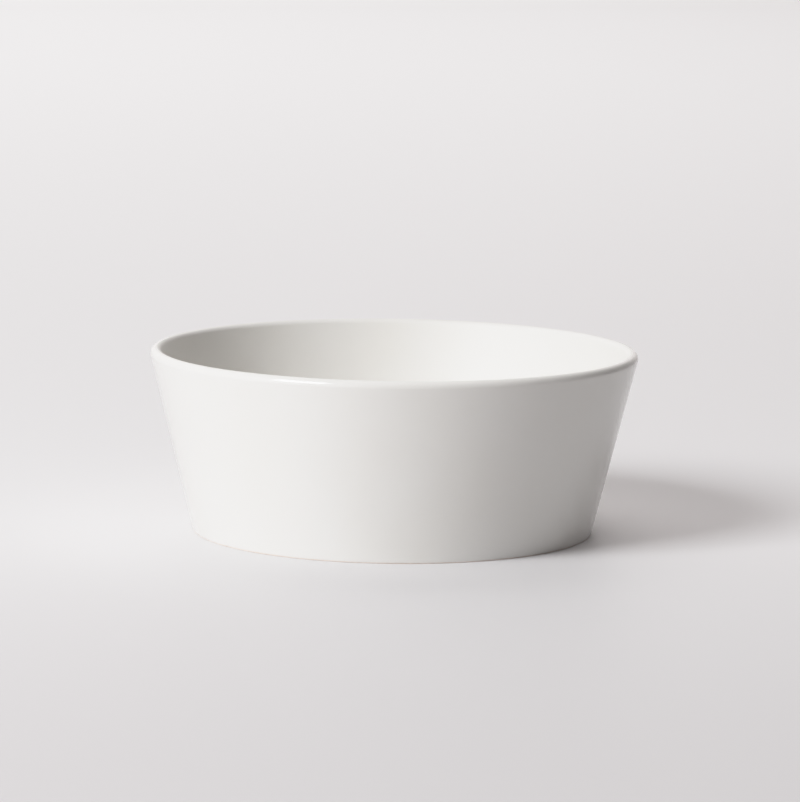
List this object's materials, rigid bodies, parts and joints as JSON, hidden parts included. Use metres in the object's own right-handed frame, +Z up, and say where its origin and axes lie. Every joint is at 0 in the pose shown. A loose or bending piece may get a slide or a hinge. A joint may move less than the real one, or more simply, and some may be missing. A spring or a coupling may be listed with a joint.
{
  "type": "latte bowl",
  "caption": "Low round stoneware bowl with a straight outward-leaning wall, a rounded lip and a recessed foot, glazed white inside and out with a bare clay foot ring, for milky coffee or soup.",
  "frame": {"origin": "centre of the foot ring's bare face, level with the table", "axes": "+Z up along the bowl's axis; the bowl is round, so X and Y are free, and -Y looks towards the camera of the reference picture"},
  "size_m": [0.14, 0.14, 0.0525],
  "materials": {
    "fired_clay": "bare fired stoneware, dry and slightly grainy",
    "white_glaze": "glossy warm white glaze"
  },
  "bodies": {
    "root": {"stoneware_body": "fired_clay", "glaze_coat": "white_glaze", "base_glaze": "white_glaze"}
  },
  "joints": []
}
